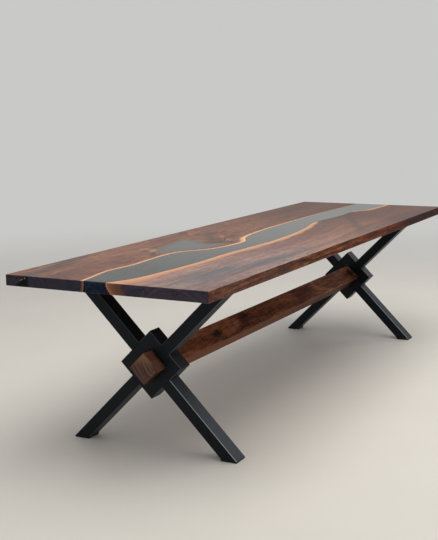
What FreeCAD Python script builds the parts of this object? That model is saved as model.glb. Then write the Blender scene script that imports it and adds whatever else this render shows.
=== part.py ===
import FreeCAD
import Part
import Sketcher

import math
import os

# A dining table: two walnut slabs with a black resin river between them, on two steel X trestles that a
# walnut beam joins. The origin is on the floor under the middle of the top. +X runs along the table to its
# right end, +Y to its back and +Z up. All sizes are in millimetres.

SIZES = {
    # The top
    "table_length": 3050,
    "table_width": 910,
    "table_height": 764,
    "top_thickness": 45,
    "edge_radius": 3,
    # The river at its widest, about the middle line, and the crack's greatest distance from the back edge
    "river_width": 256,
    "crack_inset": 114,
    # The natural edges beside the river: upright for the shoulder, then sloping back under the slab
    "bank_shoulder": 15,
    "front_undercut": 22,
    "back_undercut": 4,
    "pool_depth": 20,
    "overcut": 2,
    # The trestles, all of one rectangular tube. The hub lies a little above the middle of their height.
    "trestle_inset": 335,
    "hub_rise": 3.5,
    "tube_width": 51,
    "tube_depth": 76,
    "tube_wall": 4,
    "tube_corner": 3,
    "plate_thickness": 8,
    "foot_plate_thickness": 4,
    "foot_pad_thickness": 4,
    "foot_pad_inset": 1,
    # The beam through the hubs, and the lag screws that hold it
    "beam_side": 96,
    "beam_clearance": 6,
    "beam_overhang": 55,
    "beam_edge_radius": 3,
    "screw_diameter": 6,
    "screw_head_rim": 2,
    "screw_head_height": 4,
    "screw_gap": 5,
    "screw_bite": 38,
    "screw_play": 0.3,
    "pilot_spare": 2,
    # The bolts, washers and threaded inserts under the top
    "bolt_diameter": 8,
    "bolt_head_rim": 2.5,
    "bolt_head_height": 5.3,
    "bolt_bite": 14,
    "washer_rim": 8,
    "washer_thickness": 1.6,
    "washer_gap": 2.5,
    "insert_wall": 2,
    "insert_spare": 2,
    "thread_play": 0.2,
    "hole_play": 1,
    "slot_travel": 8,
    # The rows of bolts: the first from the river, the second from the end of the plate or the channel
    "plate_river_margin": 42,
    "plate_end_margin": 65,
    "channel_river_margin": 62,
    "channel_end_margin": 40,
    # The channels let into the underside
    "channel_station": 320,
    "channel_length": 700,
    "channel_width": 40,
    "channel_height": 20,
    "channel_wall": 4,
    "channel_clearance": 0.5,
}

# Natural outlines: percent of the table's length from the left end, then the offset from the middle line in
# percent of the river's width. Those that meet an end run a little past it.
BACK_BANK = [
    (-1, 30.5), (1.7, 35), (5, 42.5), (7.8, 47), (12.8, 41.5), (18.3, 45.5), (22.5, 47.5), (25, 44.5),
    (27, 33), (28.7, 17.5), (31.1, 4.5), (34, -3.5), (37, -6.5), (39.5, -4.5), (41, 3), (42.3, 12),
    (45.5, 23.5), (54, 34), (68, 38), (82, 38.5), (101, 30.5),
]
FRONT_BANK = [
    (-1, -4), (0, -7.5), (1.4, -16.5), (4.3, -28.5), (6.7, -32.5), (9.4, -35), (13, -39.5), (20, -43),
    (25.3, -41.5), (30, -43.5), (38.5, -49.5), (42, -50), (47, -48), (51.5, -44), (57.8, -34.5), (61, -26.5),
    (65, -16.5), (69, -15), (78, -22), (86.2, -18.5), (87.8, -34), (90.8, -39.5), (101, -43),
]
POOL = [
    (23.1, 63), (23.9, 75), (26.4, 89), (29.8, 101), (33, 108.5), (36.2, 113.5), (37.5, 105), (37.2, 90),
    (36.2, 74), (34.9, 57), (34.5, 38), (35, 24), (35.8, 14), (33.6, 15), (31.8, 20), (30, 28), (28, 42.5),
    (26.3, 53.5), (24.8, 58.5),
]
# The crack's two sides, on the top and the underside of the slab: the offset here is from the back edge, in
# percent of the crack's inset.
CRACK_TOP = (
    [(-1, 100), (2, 91), (5, 69), (10, 46.5), (13.8, 36), (17.5, 25)],
    [(-1, 86), (2, 73), (5, 50), (10, 29), (13.8, 22), (17.5, 25)],
)
CRACK_UNDERSIDE = (
    [(-1, 97), (2, 90), (5, 66), (8, 52), (10.5, 43), (12.5, 36)],
    [(-1, 37), (2, 40), (5, 40), (8, 34), (10.5, 32), (12.5, 36)],
)

# Places and sizes that follow from the sheet
TOP = "Sizes.table_height"
UNDERSIDE = "(Sizes.table_height - Sizes.top_thickness)"
SHOULDER = "(Sizes.table_height - Sizes.bank_shoulder)"
ABOVE = f"({TOP} + Sizes.overcut)"
BELOW = f"({UNDERSIDE} - Sizes.overcut)"
CHANNEL_WEB = f"({UNDERSIDE} + Sizes.channel_wall)"
HUB_HEIGHT = f"({UNDERSIDE} / 2 + Sizes.hub_rise)"
HUB_OPENING = "(Sizes.beam_side + Sizes.beam_clearance)"
HUB_FACE = f"({HUB_OPENING} / 2 + Sizes.tube_width)"
TRESTLE_X = "(Sizes.table_length / 2 - Sizes.trestle_inset - Sizes.tube_depth / 2)"
PLATE_SEAT = f"({UNDERSIDE} - Sizes.plate_thickness)"
UPPER_REACH = f"({PLATE_SEAT} - {HUB_HEIGHT})"
FOOT_TOP = "(Sizes.foot_pad_thickness + Sizes.foot_plate_thickness)"
LOWER_REACH = f"({HUB_HEIGHT} - {FOOT_TOP})"
LEVEL_CUT = "(Sizes.tube_width * sqrt(2))"
BOLT_HOLE = "(Sizes.bolt_diameter + Sizes.hole_play)"
BOLT_HEAD = "(Sizes.bolt_diameter + 2 * Sizes.bolt_head_rim)"
WASHER = f"({BOLT_HOLE} + 2 * Sizes.washer_rim)"
INSERT_BORE = "(Sizes.bolt_diameter + Sizes.thread_play)"
INSERT_DIAMETER = f"({INSERT_BORE} + 2 * Sizes.insert_wall)"
INSERT_HOLE = f"({INSERT_DIAMETER} + Sizes.thread_play)"
INSERT_LENGTH = "(Sizes.bolt_bite + Sizes.insert_spare)"
PLATE_REACH = f"({UPPER_REACH} + {LEVEL_CUT} / 2)"
PLATE_BOLT_SIDE = f"(Sizes.tube_depth / 2 + {WASHER} / 2 + Sizes.washer_gap)"
PLATE_SIDE = f"({PLATE_BOLT_SIDE} + {WASHER} / 2 + Sizes.washer_gap)"
CHANNEL_REACH = "(Sizes.channel_length / 2)"
# The two rows of bolts in each slab, by their distance from the middle line
ROWS = {
    "plate": (
        "(Sizes.river_width / 2 + Sizes.plate_river_margin)", f"({PLATE_REACH} - Sizes.plate_end_margin)",
    ),
    "channel": (
        "(Sizes.river_width / 2 + Sizes.channel_river_margin)",
        f"({CHANNEL_REACH} - Sizes.channel_end_margin)",
    ),
}
SCREW_HOLE = "(Sizes.screw_diameter + Sizes.screw_play)"
SCREW_HEAD = "(Sizes.screw_diameter + 2 * Sizes.screw_head_rim)"
SCREW_OFFSET = f"(Sizes.tube_width / 2 + {SCREW_HEAD} / sqrt(3) + Sizes.screw_gap)"
BEAM_DROP = "(Sizes.beam_clearance / sqrt(2))"
BEAM_LENGTH = f"(2 * {TRESTLE_X} + Sizes.tube_depth + 2 * Sizes.beam_overhang)"

SIDES = {"left": "-1", "right": "1"}
SLABS = {"front": "-1", "back": "1"}
# The arms of the X, by their angle about X from upright, in degrees
ARM_ANGLES = {"upper_back": -45, "upper_front": 45, "lower_front": 135, "lower_back": -135}
BEAM_SCREW_ARM = "lower_back"
X_AXIS = FreeCAD.Vector(1, 0, 0)
TOLERANCE = 0.001

doc = FreeCAD.newDocument("river_table")
sheet = doc.addObject("Spreadsheet::Sheet", "Sizes")
for row, (alias, value) in enumerate(SIZES.items(), 1):
    sheet.set(f"A{row}", alias)
    sheet.set(f"B{row}", str(value))
    sheet.setAlias(f"B{row}", alias)
doc.recompute()

nodes = []


def size(alias):
    """A driving dimension, read from the sheet."""
    return float(sheet.get(alias))


def add_shape(label):
    """A new shape in its own frame, which pieces are made from."""
    body = doc.addObject("PartDesign::Body", label)
    body.Label = label
    return body


def add_body(label, turn=0, base_x="0", base_z="0"):
    """A new piece, turned about X and placed by expressions."""
    body = add_shape(label)
    body.Placement = FreeCAD.Placement(FreeCAD.Vector(), FreeCAD.Rotation(X_AXIS, turn))
    body.setExpression("Placement.Base.x", base_x)
    body.setExpression("Placement.Base.z", base_z)
    nodes.append(body)
    return body


def origin_feature(body, role):
    """One of a body's own origin planes or axes."""
    return next(feature for feature in body.Origin.OriginFeatures if feature.Role == role)


def add_sketch(body, name, plane, level):
    """An empty sketch on an origin plane, raised to a level along that plane's normal."""
    sketch = body.newObject("Sketcher::SketchObject", f"{body.Name}_{name}")
    sketch.AttachmentSupport = [(origin_feature(body, plane), "")]
    sketch.MapMode = "FlatFace"
    sketch.setExpression("AttachmentOffset.Base.z", level)
    return sketch


def tie_point(sketch, geometry, point, place, tag):
    """Ties a point of a sketch to a pair of expressions, measured from the origin."""
    for kind, axis_name, expression in zip(("DistanceX", "DistanceY"), ("across", "along"), place):
        start = getattr(sketch.getPoint(geometry, point), kind[-1].lower())
        constraint = sketch.addConstraint(Sketcher.Constraint(kind, -1, 1, geometry, point, start))
        name = f"{axis_name}_{tag}"
        sketch.renameConstraint(constraint, name)
        sketch.setExpression(f"Constraints.{name}", expression)


def add_polygons(body, name, plane, polygons, level="0"):
    """A sketch of straight-sided outlines, whose corners are pairs of expressions."""
    sketch = add_sketch(body, name, plane, level)
    for number, corners in enumerate(polygons):
        first = sketch.GeometryCount
        count = len(corners)
        turns = [2 * math.pi * index / count for index in range(count)]
        start = [FreeCAD.Vector(math.cos(turn), math.sin(turn), 0) for turn in turns]
        for index in range(count):
            sketch.addGeometry(Part.LineSegment(start[index], start[(index + 1) % count]), False)
        for index, corner in enumerate(corners):
            following = first + (index + 1) % count
            sketch.addConstraint(Sketcher.Constraint("Coincident", first + index, 2, following, 1))
            tie_point(sketch, first + index, 1, corner, f"{number}_{index}")
    return sketch


def add_circles(body, name, plane, centres, diameters, level="0"):
    """A sketch of circles of every given diameter about every given centre."""
    sketch = add_sketch(body, name, plane, level)
    for number, centre in enumerate(centres):
        for ring, diameter in enumerate(diameters):
            circle = Part.Circle(FreeCAD.Vector(), FreeCAD.Vector(0, 0, 1), 1 + ring)
            index = sketch.addGeometry(circle, False)
            tie_point(sketch, index, 3, centre, f"{number}_{ring}")
            constraint = sketch.addConstraint(Sketcher.Constraint("Diameter", index, 2 + 2 * ring))
            tag = f"diameter_{number}_{ring}"
            sketch.renameConstraint(constraint, tag)
            sketch.setExpression(f"Constraints.{tag}", diameter)
    return sketch


def pad(body, sketch, length, both_ways=False, backward=False):
    """Extrudes a sketch, along its normal unless told otherwise."""
    feature = body.newObject("PartDesign::Pad", f"{sketch.Name}_pad")
    feature.Profile = sketch
    feature.SideType = "Symmetric" if both_ways else "One side"
    feature.Reversed = backward
    feature.setExpression("Length", length)
    return feature


def pocket(body, sketch, length, both_ways=False, forward=False):
    """Cuts a sketch out of the body, against its normal unless told otherwise, and checks that it cut."""
    doc.recompute()
    before = body.Shape.Volume
    feature = body.newObject("PartDesign::Pocket", f"{sketch.Name}_pocket")
    feature.Profile = sketch
    feature.SideType = "Symmetric" if both_ways else "One side"
    feature.Reversed = forward
    feature.setExpression("Length", length)
    doc.recompute()
    if body.Shape.Volume > before - TOLERANCE:
        raise RuntimeError(f"{feature.Name} cut nothing")
    return feature


def round_edges(body, radius, wanted):
    """Rounds the edges of the body's last feature that the given test picks."""
    doc.recompute()
    tip = body.Tip
    names = [f"Edge{index}" for index, edge in enumerate(tip.Shape.Edges, 1) if wanted(edge)]
    feature = body.newObject("PartDesign::Fillet", f"{body.Name}_rounding")
    feature.Base = (tip, names)
    feature.setExpression("Radius", radius)
    return feature


def copy_across(body, plane):
    """Mirrors the whole piece in one of its origin planes and keeps both."""
    feature = body.newObject("PartDesign::Mirrored", f"{body.Name}_{plane}_copies")
    feature.TransformMode = "Whole shape"
    feature.MirrorPlane = (origin_feature(body, plane), [""])
    body.Tip = feature


def rectangle(half_across, half_along):
    """The corners of a rectangle about the origin, as pairs of expressions."""
    return [
        (f"-{half_across}", f"-{half_along}"), (half_across, f"-{half_along}"),
        (half_across, half_along), (f"-{half_across}", half_along),
    ]


def hexagon(centre, across_flats):
    """The corners of a hexagon about a centre, as pairs of expressions."""
    corners = []
    for index in range(6):
        angle = 60 * index
        corners.append((
            f"{centre[0]} + {across_flats} / sqrt(3) * cos({angle} deg)",
            f"{centre[1]} + {across_flats} / sqrt(3) * sin({angle} deg)",
        ))
    return corners


# The top


def place_on_top(percent, offset):
    """A point of a natural outline in the plane of the top."""
    length = size("table_length")
    return FreeCAD.Vector(length * percent / 100 - length / 2, offset, 0)


def smooth_curves(points, closed=False):
    """Cubic curves through points, each tangent to the next."""
    count = len(points)
    slopes = []
    for index, point in enumerate(points):
        before = points[index - 1] if closed or index > 0 else point
        after = points[(index + 1) % count] if closed or index < count - 1 else point
        slopes.append((after - before) / ((point - before).Length + (after - point).Length))
    curves = []
    for index in range(count if closed else count - 1):
        following = (index + 1) % count
        third = (points[following] - points[index]).Length / 3
        curve = Part.BezierCurve()
        curve.setPoles([
            points[index], points[index] + slopes[index] * third,
            points[following] - slopes[following] * third, points[following],
        ])
        curves.append(curve.toBSpline())
    return curves


def add_outline(body, name, level, sides):
    """A sketch in the plane of the top whose sides, each a list of points, meet at their ends."""
    sketch = add_sketch(body, name, "XY_Plane", level)
    for points in sides:
        curves = smooth_curves(points) if len(points) > 2 else [Part.LineSegment(*points)]
        for curve in curves:
            sketch.addGeometry(curve, False)
    return sketch


def loft(body, kind, sketches):
    """Joins outlines at several levels with straight-sided skins."""
    feature = body.newObject(f"PartDesign::{kind}", f"{sketches[0].Name}_loft")
    feature.Profile = sketches[0]
    feature.Sections = sketches[1:]
    feature.Ruled = True


def add_rounded_top(body):
    """The whole top as one block with a rounded rim, which its pieces are cut from."""
    corners = rectangle("Sizes.table_length / 2", "Sizes.table_width / 2")
    pad(body, add_polygons(body, "whole_top", "XY_Plane", [corners], UNDERSIDE), "Sizes.top_thickness")
    round_edges(body, "Sizes.edge_radius", lambda edge: True)


def cut_past_bank(body, side, toward):
    """Cuts away all of the top that lies past the natural edge of one slab, to the front or to the back."""
    bank_points = BACK_BANK if side == "back" else FRONT_BANK
    undercut = toward_slab(side) * size(f"{side}_undercut")
    far = toward * (size("table_width") / 2 + size("overcut"))
    outlines = []
    for name, level, shift in (("below", BELOW, undercut), ("shoulder", SHOULDER, 0), ("above", ABOVE, 0)):
        edge = [place_on_top(percent, size("river_width") * share / 100 + shift)
                for percent, share in bank_points]
        right_corner = FreeCAD.Vector(edge[-1].x, far, 0)
        left_corner = FreeCAD.Vector(edge[0].x, far, 0)
        sides = [edge, [edge[-1], right_corner], [right_corner, left_corner], [left_corner, edge[0]]]
        outlines.append(add_outline(body, f"{side}_bank_{name}", level, sides))
    loft(body, "SubtractiveLoft", outlines)


def toward_slab(side):
    """The direction along Y from the river to a slab."""
    return float(SLABS[side])


def row_places(kind, side):
    """Where the rows of bolts lie along Y in one slab, under the plates or under the channels."""
    return [f"{SLABS[side]} * {row}" for row in ROWS[kind]]


def cut_insert_holes(body, side):
    """Cuts the holes for the threaded inserts over the plates and over the channels."""
    ends = SIDES.values()
    over_plates = [(f"{end} * {TRESTLE_X} + {edge} * {PLATE_BOLT_SIDE}", y)
                   for end in ends for edge in ends for y in row_places("plate", side)]
    over_channels = [(f"{end} * Sizes.channel_station", y)
                     for end in ends for y in row_places("channel", side)]
    for name, centres, level in (
        ("plate_holes", over_plates, UNDERSIDE),
        ("channel_holes", over_channels, CHANNEL_WEB),
    ):
        holes = add_circles(body, name, "XY_Plane", centres, [INSERT_HOLE], level)
        pocket(body, holes, INSERT_LENGTH, forward=True)


def channel_section(centre, clearance):
    """The section of a channel in the XZ plane, flanges up, widened by a clearance except at its web."""
    outer = f"(Sizes.channel_width / 2 + {clearance})"
    inner = f"(Sizes.channel_width / 2 - Sizes.channel_wall - {clearance})"
    tip = f"({UNDERSIDE} + Sizes.channel_height + {clearance})"
    return [
        (f"{centre} - {outer}", UNDERSIDE), (f"{centre} + {outer}", UNDERSIDE),
        (f"{centre} + {outer}", tip), (f"{centre} + {inner}", tip),
        (f"{centre} + {inner}", CHANNEL_WEB), (f"{centre} - {inner}", CHANNEL_WEB),
        (f"{centre} - {inner}", tip), (f"{centre} - {outer}", tip),
    ]


def cut_channel_grooves(body):
    """Cuts the grooves that the two channels sit in."""
    sections = [channel_section(f"{end} * Sizes.channel_station", "Sizes.channel_clearance")
                for end in SIDES.values()]
    sketch = add_polygons(body, "grooves", "XZ_Plane", sections)
    pocket(body, sketch, f"2 * ({CHANNEL_REACH} + Sizes.channel_clearance)", both_ways=True)


def crack_outlines(body):
    """The outlines of the crack, just under and just over the back slab."""
    back_edge = size("table_width") / 2
    outlines = []
    for name, level, sides in (("crack_below", BELOW, CRACK_UNDERSIDE), ("crack_above", ABOVE, CRACK_TOP)):
        inner, outer = [[place_on_top(percent, back_edge - size("crack_inset") * share / 100)
                         for percent, share in side] for side in sides]
        outlines.append(add_outline(body, name, level, [inner, outer[::-1], [outer[0], inner[0]]]))
    return outlines


def pool_outline(body):
    """The outline of the void beside the river, on the top of the back slab."""
    sketch = add_sketch(body, "pool", "XY_Plane", TOP)
    points = [place_on_top(percent, size("river_width") * share / 100) for percent, share in POOL]
    for curve in smooth_curves(points, closed=True):
        sketch.addGeometry(curve, False)
    return sketch


def make_slab(side):
    """One walnut slab: its natural edge, its rounded rim, and the cuts for what is let into it."""
    body = add_body(f"{side}_slab")
    add_rounded_top(body)
    cut_past_bank(body, side, -toward_slab(side))
    if side == "back":
        loft(body, "SubtractiveLoft", crack_outlines(body))
        pocket(body, pool_outline(body), "Sizes.pool_depth")
    cut_channel_grooves(body)
    cut_insert_holes(body, side)


def make_river():
    """The cast resin between the two natural edges."""
    body = add_body("river_resin")
    add_rounded_top(body)
    for side in SLABS:
        cut_past_bank(body, side, toward_slab(side))
    cut_channel_grooves(body)


def make_crack_fill():
    """The resin in the crack: what of the crack lies within the rounded top."""
    block = add_shape("crack_block")
    add_rounded_top(block)
    crack = add_shape("crack_space")
    loft(crack, "AdditiveLoft", crack_outlines(crack))
    fill = doc.addObject("Part::Common", "crack_fill")
    fill.Label = "crack_fill"
    fill.Base = block
    fill.Tool = crack
    nodes.append(fill)


def make_pool_fill():
    """The resin in the void beside the river."""
    body = add_body("pool_fill")
    pad(body, pool_outline(body), "Sizes.pool_depth", backward=True)


# What is fixed under the top


def make_fasteners(kind, end, base_x, bolt_side, seat, clamped):
    """Washers, bolts and threaded inserts in rows across the top, under a plate or a channel."""
    groups = {}
    for name in ("washers", "bolts", "inserts"):
        groups[name] = add_body(f"{end}_{kind}_{name}", base_x=base_x)
    first_row, last_row = ROWS[kind]
    centre = (bolt_side, first_row)
    head_level = f"({seat} - Sizes.washer_thickness)"
    rings = [WASHER, BOLT_HOLE]
    washer = add_circles(groups["washers"], "ring", "XY_Plane", [centre], rings, head_level)
    pad(groups["washers"], washer, "Sizes.washer_thickness")
    head = add_polygons(groups["bolts"], "head", "XY_Plane", [hexagon(centre, BOLT_HEAD)], head_level)
    pad(groups["bolts"], head, "Sizes.bolt_head_height", backward=True)
    shank = add_circles(groups["bolts"], "shank", "XY_Plane", [centre], ["Sizes.bolt_diameter"], head_level)
    pad(groups["bolts"], shank, f"Sizes.washer_thickness + {clamped} + Sizes.bolt_bite")
    rings = [INSERT_DIAMETER, INSERT_BORE]
    insert = add_circles(groups["inserts"], "ring", "XY_Plane", [centre], rings, f"{seat} + {clamped}")
    pad(groups["inserts"], insert, INSERT_LENGTH)
    for group in groups.values():
        rows = group.newObject("PartDesign::LinearPattern", f"{group.Name}_rows")
        rows.TransformMode = "Whole shape"
        rows.Direction = (origin_feature(group, "Y_Axis"), [""])
        rows.setExpression("Length", f"{last_row} - {first_row}")
        rows.Occurrences = len(ROWS[kind])
        group.Tip = rows
        doc.recompute()
        copy_across(group, "XZ_Plane")
        doc.recompute()
        if bolt_side != "0":
            copy_across(group, "YZ_Plane")


def cut_slots(body, centres, level, depth):
    """Cuts slots along Y, in two steps: their straight middles, then their round ends."""
    half_width = f"{BOLT_HOLE} / 2"
    half_travel = "Sizes.slot_travel / 2"
    middles = []
    ends = []
    for x, y in centres:
        middles.append([
            (f"{x} - {half_width}", f"{y} - {half_travel}"), (f"{x} + {half_width}", f"{y} - {half_travel}"),
            (f"{x} + {half_width}", f"{y} + {half_travel}"), (f"{x} - {half_width}", f"{y} + {half_travel}"),
        ])
        ends.append((x, f"{y} - {half_travel}"))
        ends.append((x, f"{y} + {half_travel}"))
    pocket(body, add_polygons(body, "slot_middles", "XY_Plane", middles, level), depth)
    pocket(body, add_circles(body, "slot_ends", "XY_Plane", ends, [BOLT_HOLE], level), depth)


def make_channel(end):
    """One steel channel, flush with the underside, and what holds it there."""
    base_x = f"{SIDES[end]} * Sizes.channel_station"
    body = add_body(f"{end}_channel", base_x=base_x)
    section = add_polygons(body, "section", "XZ_Plane", [channel_section("0", "0")])
    pad(body, section, f"2 * {CHANNEL_REACH}", both_ways=True)
    centres = [("0", y) for side in SLABS for y in row_places("channel", side)]
    cut_slots(body, centres, CHANNEL_WEB, "Sizes.channel_wall")
    make_fasteners("channel", end, base_x, "0", UNDERSIDE, "Sizes.channel_wall")


# The trestles


def make_tube(label, end, arm, outline, bore, along):
    """A length of tube in an arm's own frame: its side outline, its rounded corners and its bore."""
    body = add_body(label, ARM_ANGLES[arm], f"{SIDES[end]} * {TRESTLE_X}", HUB_HEIGHT)
    pad(body, add_polygons(body, "outline", "YZ_Plane", [outline]), "Sizes.tube_depth", both_ways=True)

    def at_corner(edge):
        box = edge.BoundBox
        spans = {"y": box.YLength, "z": box.ZLength}
        across = spans["z" if along == "y" else "y"]
        return box.XLength < TOLERANCE and across < TOLERANCE

    round_edges(body, "Sizes.tube_corner", at_corner)
    hollow = add_polygons(body, "bore", "YZ_Plane", [bore])
    pocket(body, hollow, "Sizes.tube_depth - 2 * Sizes.tube_wall", both_ways=True)
    return body


def make_leg(end, arm):
    """A half leg, from a face of the hub to its level cut at the plate or the foot."""
    reach = UPPER_REACH if arm.startswith("upper") else LOWER_REACH
    half = "(Sizes.tube_width / 2)"
    half_bore = "(Sizes.tube_width / 2 - Sizes.tube_wall)"
    cut = f"{reach} * sqrt(2)"
    # Which edge of the level cut stands further out along the leg
    lean = 1 if arm in ("upper_back", "lower_front") else -1
    outline = [
        (f"-{half}", HUB_FACE), (half, HUB_FACE),
        (half, f"{cut} + {lean} * {half}"), (f"-{half}", f"{cut} - {lean} * {half}"),
    ]
    past_cut = f"{cut} + Sizes.tube_width"
    short_of_hub = f"({HUB_FACE} - Sizes.tube_wall)"
    bore = [
        (f"-{half_bore}", short_of_hub), (half_bore, short_of_hub),
        (half_bore, past_cut), (f"-{half_bore}", past_cut),
    ]
    make_tube(f"{end}_leg_{arm}", end, arm, outline, bore, "z")


def make_hub_tube(end, arm):
    """One mitred side of the hub, across the end of an arm."""
    near = f"({HUB_OPENING} / 2)"
    outline = [(f"-{near}", near), (near, near), (HUB_FACE, HUB_FACE), (f"-{HUB_FACE}", HUB_FACE)]
    bore_near = f"({near} + Sizes.tube_wall)"
    bore_far = f"({HUB_FACE} - Sizes.tube_wall)"
    past_mitre = f"({HUB_FACE} + Sizes.tube_wall)"
    bore = [
        (f"-{past_mitre}", bore_near), (past_mitre, bore_near),
        (past_mitre, bore_far), (f"-{past_mitre}", bore_far),
    ]
    body = make_tube(f"{end}_hub_{arm}", end, arm, outline, bore, "y")
    if arm == BEAM_SCREW_ARM:
        centres = [("0", f"{side} * {SCREW_OFFSET}") for side in SLABS.values()]
        holes = add_circles(body, "screw_holes", "XY_Plane", centres, [SCREW_HOLE], HUB_FACE)
        pocket(body, holes, "Sizes.tube_width")


def make_top_plate(end):
    """The plate that the upper legs are welded to, with slots that let the slabs move across the grain."""
    base_x = f"{SIDES[end]} * {TRESTLE_X}"
    body = add_body(f"{end}_top_plate", base_x=base_x)
    corners = rectangle(PLATE_SIDE, PLATE_REACH)
    pad(body, add_polygons(body, "outline", "XY_Plane", [corners], PLATE_SEAT), "Sizes.plate_thickness")
    centres = [(f"{edge} * {PLATE_BOLT_SIDE}", y)
               for edge in SIDES.values() for side in SLABS for y in row_places("plate", side)]
    cut_slots(body, centres, UNDERSIDE, "Sizes.plate_thickness")
    make_fasteners("plate", end, base_x, PLATE_BOLT_SIDE, PLATE_SEAT, "Sizes.plate_thickness")


def make_foot(end, side):
    """The steel plate that closes a lower leg, and the pad under it."""
    for name, inset, thickness, level in (
        ("plate", "0", "Sizes.foot_plate_thickness", "Sizes.foot_pad_thickness"),
        ("pad", "Sizes.foot_pad_inset", "Sizes.foot_pad_thickness", "0"),
    ):
        label = f"{end}_foot_{name}_{side}"
        block = doc.addObject("Part::Box", label)
        block.Label = label
        depth = f"(Sizes.tube_depth - 2 * {inset})"
        width = f"({LEVEL_CUT} - 2 * {inset})"
        block.setExpression("Length", depth)
        block.setExpression("Width", width)
        block.setExpression("Height", thickness)
        block.setExpression("Placement.Base.x", f"{SIDES[end]} * {TRESTLE_X} - {depth} / 2")
        block.setExpression("Placement.Base.y", f"{SLABS[side]} * {LOWER_REACH} - {width} / 2")
        block.setExpression("Placement.Base.z", level)
        nodes.append(block)


def make_beam():
    """The square beam on its corner, resting in both hubs, with pilot holes for the lag screws."""
    body = add_body("stretcher_beam", ARM_ANGLES[BEAM_SCREW_ARM], base_z=f"{HUB_HEIGHT} - {BEAM_DROP}")
    half = "(Sizes.beam_side / 2)"
    pad(body, add_polygons(body, "square", "YZ_Plane", [rectangle(half, half)]), BEAM_LENGTH, both_ways=True)
    round_edges(body, "Sizes.beam_edge_radius", lambda edge: True)
    centres = [(f"{end} * {TRESTLE_X}", f"{side} * {SCREW_OFFSET} - Sizes.beam_clearance / 2")
               for end in SIDES.values() for side in SLABS.values()]
    holes = add_circles(body, "pilot_holes", "XY_Plane", centres, [SCREW_HOLE], half)
    pocket(body, holes, "Sizes.screw_bite + Sizes.pilot_spare")


def make_beam_screws(end):
    """The lag screws through one side of a hub into the beam, either side of the leg."""
    base_x = f"{SIDES[end]} * {TRESTLE_X}"
    body = add_body(f"{end}_beam_screws", ARM_ANGLES[BEAM_SCREW_ARM], base_x, HUB_HEIGHT)
    centre = ("0", SCREW_OFFSET)
    head = add_polygons(body, "head", "XY_Plane", [hexagon(centre, SCREW_HEAD)], HUB_FACE)
    pad(body, head, "Sizes.screw_head_height")
    shank = add_circles(body, "shank", "XY_Plane", [centre], ["Sizes.screw_diameter"], HUB_FACE)
    pad(body, shank, "Sizes.tube_width + Sizes.screw_bite", backward=True)
    doc.recompute()
    copy_across(body, "XZ_Plane")


def write_nodes():
    """Checks every object and every piece, then writes each piece to its own file."""
    doc.recompute()
    for item in doc.Objects:
        if "Invalid" in item.State or "Error" in item.State:
            raise RuntimeError(f"{item.Label} failed: {item.State}")
    for node in nodes:
        if node.Shape.isNull() or not node.Shape.isValid() or not node.Shape.Solids:
            raise RuntimeError(f"{node.Label} has no valid solid")
    os.makedirs("parts", exist_ok=True)
    for node in nodes:
        node.Shape.exportStep(f"parts/{node.Label}.step")


for slab_side in SLABS:
    make_slab(slab_side)
make_river()
make_crack_fill()
make_pool_fill()
for table_end in SIDES:
    make_channel(table_end)
    for arm_name in ARM_ANGLES:
        make_leg(table_end, arm_name)
        make_hub_tube(table_end, arm_name)
    make_top_plate(table_end)
    for foot_side in SLABS:
        make_foot(table_end, foot_side)
    make_beam_screws(table_end)
make_beam()
write_nodes()
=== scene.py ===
import math

import bpy
import numpy as np
from mathutils import Matrix, Vector


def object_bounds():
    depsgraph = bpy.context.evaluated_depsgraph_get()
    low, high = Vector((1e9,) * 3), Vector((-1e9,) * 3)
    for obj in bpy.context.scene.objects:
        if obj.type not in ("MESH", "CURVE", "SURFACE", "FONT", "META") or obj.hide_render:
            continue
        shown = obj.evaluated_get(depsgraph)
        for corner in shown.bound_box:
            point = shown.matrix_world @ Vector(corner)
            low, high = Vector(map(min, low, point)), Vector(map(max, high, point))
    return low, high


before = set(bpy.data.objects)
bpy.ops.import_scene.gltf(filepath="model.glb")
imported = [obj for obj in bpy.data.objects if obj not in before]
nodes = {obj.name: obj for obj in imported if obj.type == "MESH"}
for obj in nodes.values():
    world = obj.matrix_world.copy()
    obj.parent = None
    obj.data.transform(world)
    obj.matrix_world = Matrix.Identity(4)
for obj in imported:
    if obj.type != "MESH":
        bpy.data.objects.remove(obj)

# A dining table of walnut and black resin on two steel trestles. Lengths are in metres, in the frame of the
# solids: +X along the table, +Y to its back and +Z up. A place along the table is a distance from its left
# end, and an offset is across it.

cad_box = [list(corner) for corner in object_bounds()]
HALF_LENGTH = cad_box[1][0]
TOP = cad_box[1][2]


def paint(red, green, blue):
    """A colour written in sRGB display values from 0 to 255, as a socket takes it."""
    linear = []
    for value in (red, green, blue):
        value /= 255
        linear.append(value / 12.92 if value <= 0.04045 else ((value + 0.055) / 1.055) ** 2.4)
    return (*linear, 1.0)


def station(place):
    """The X of a place along the table."""
    return place - HALF_LENGTH


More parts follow.
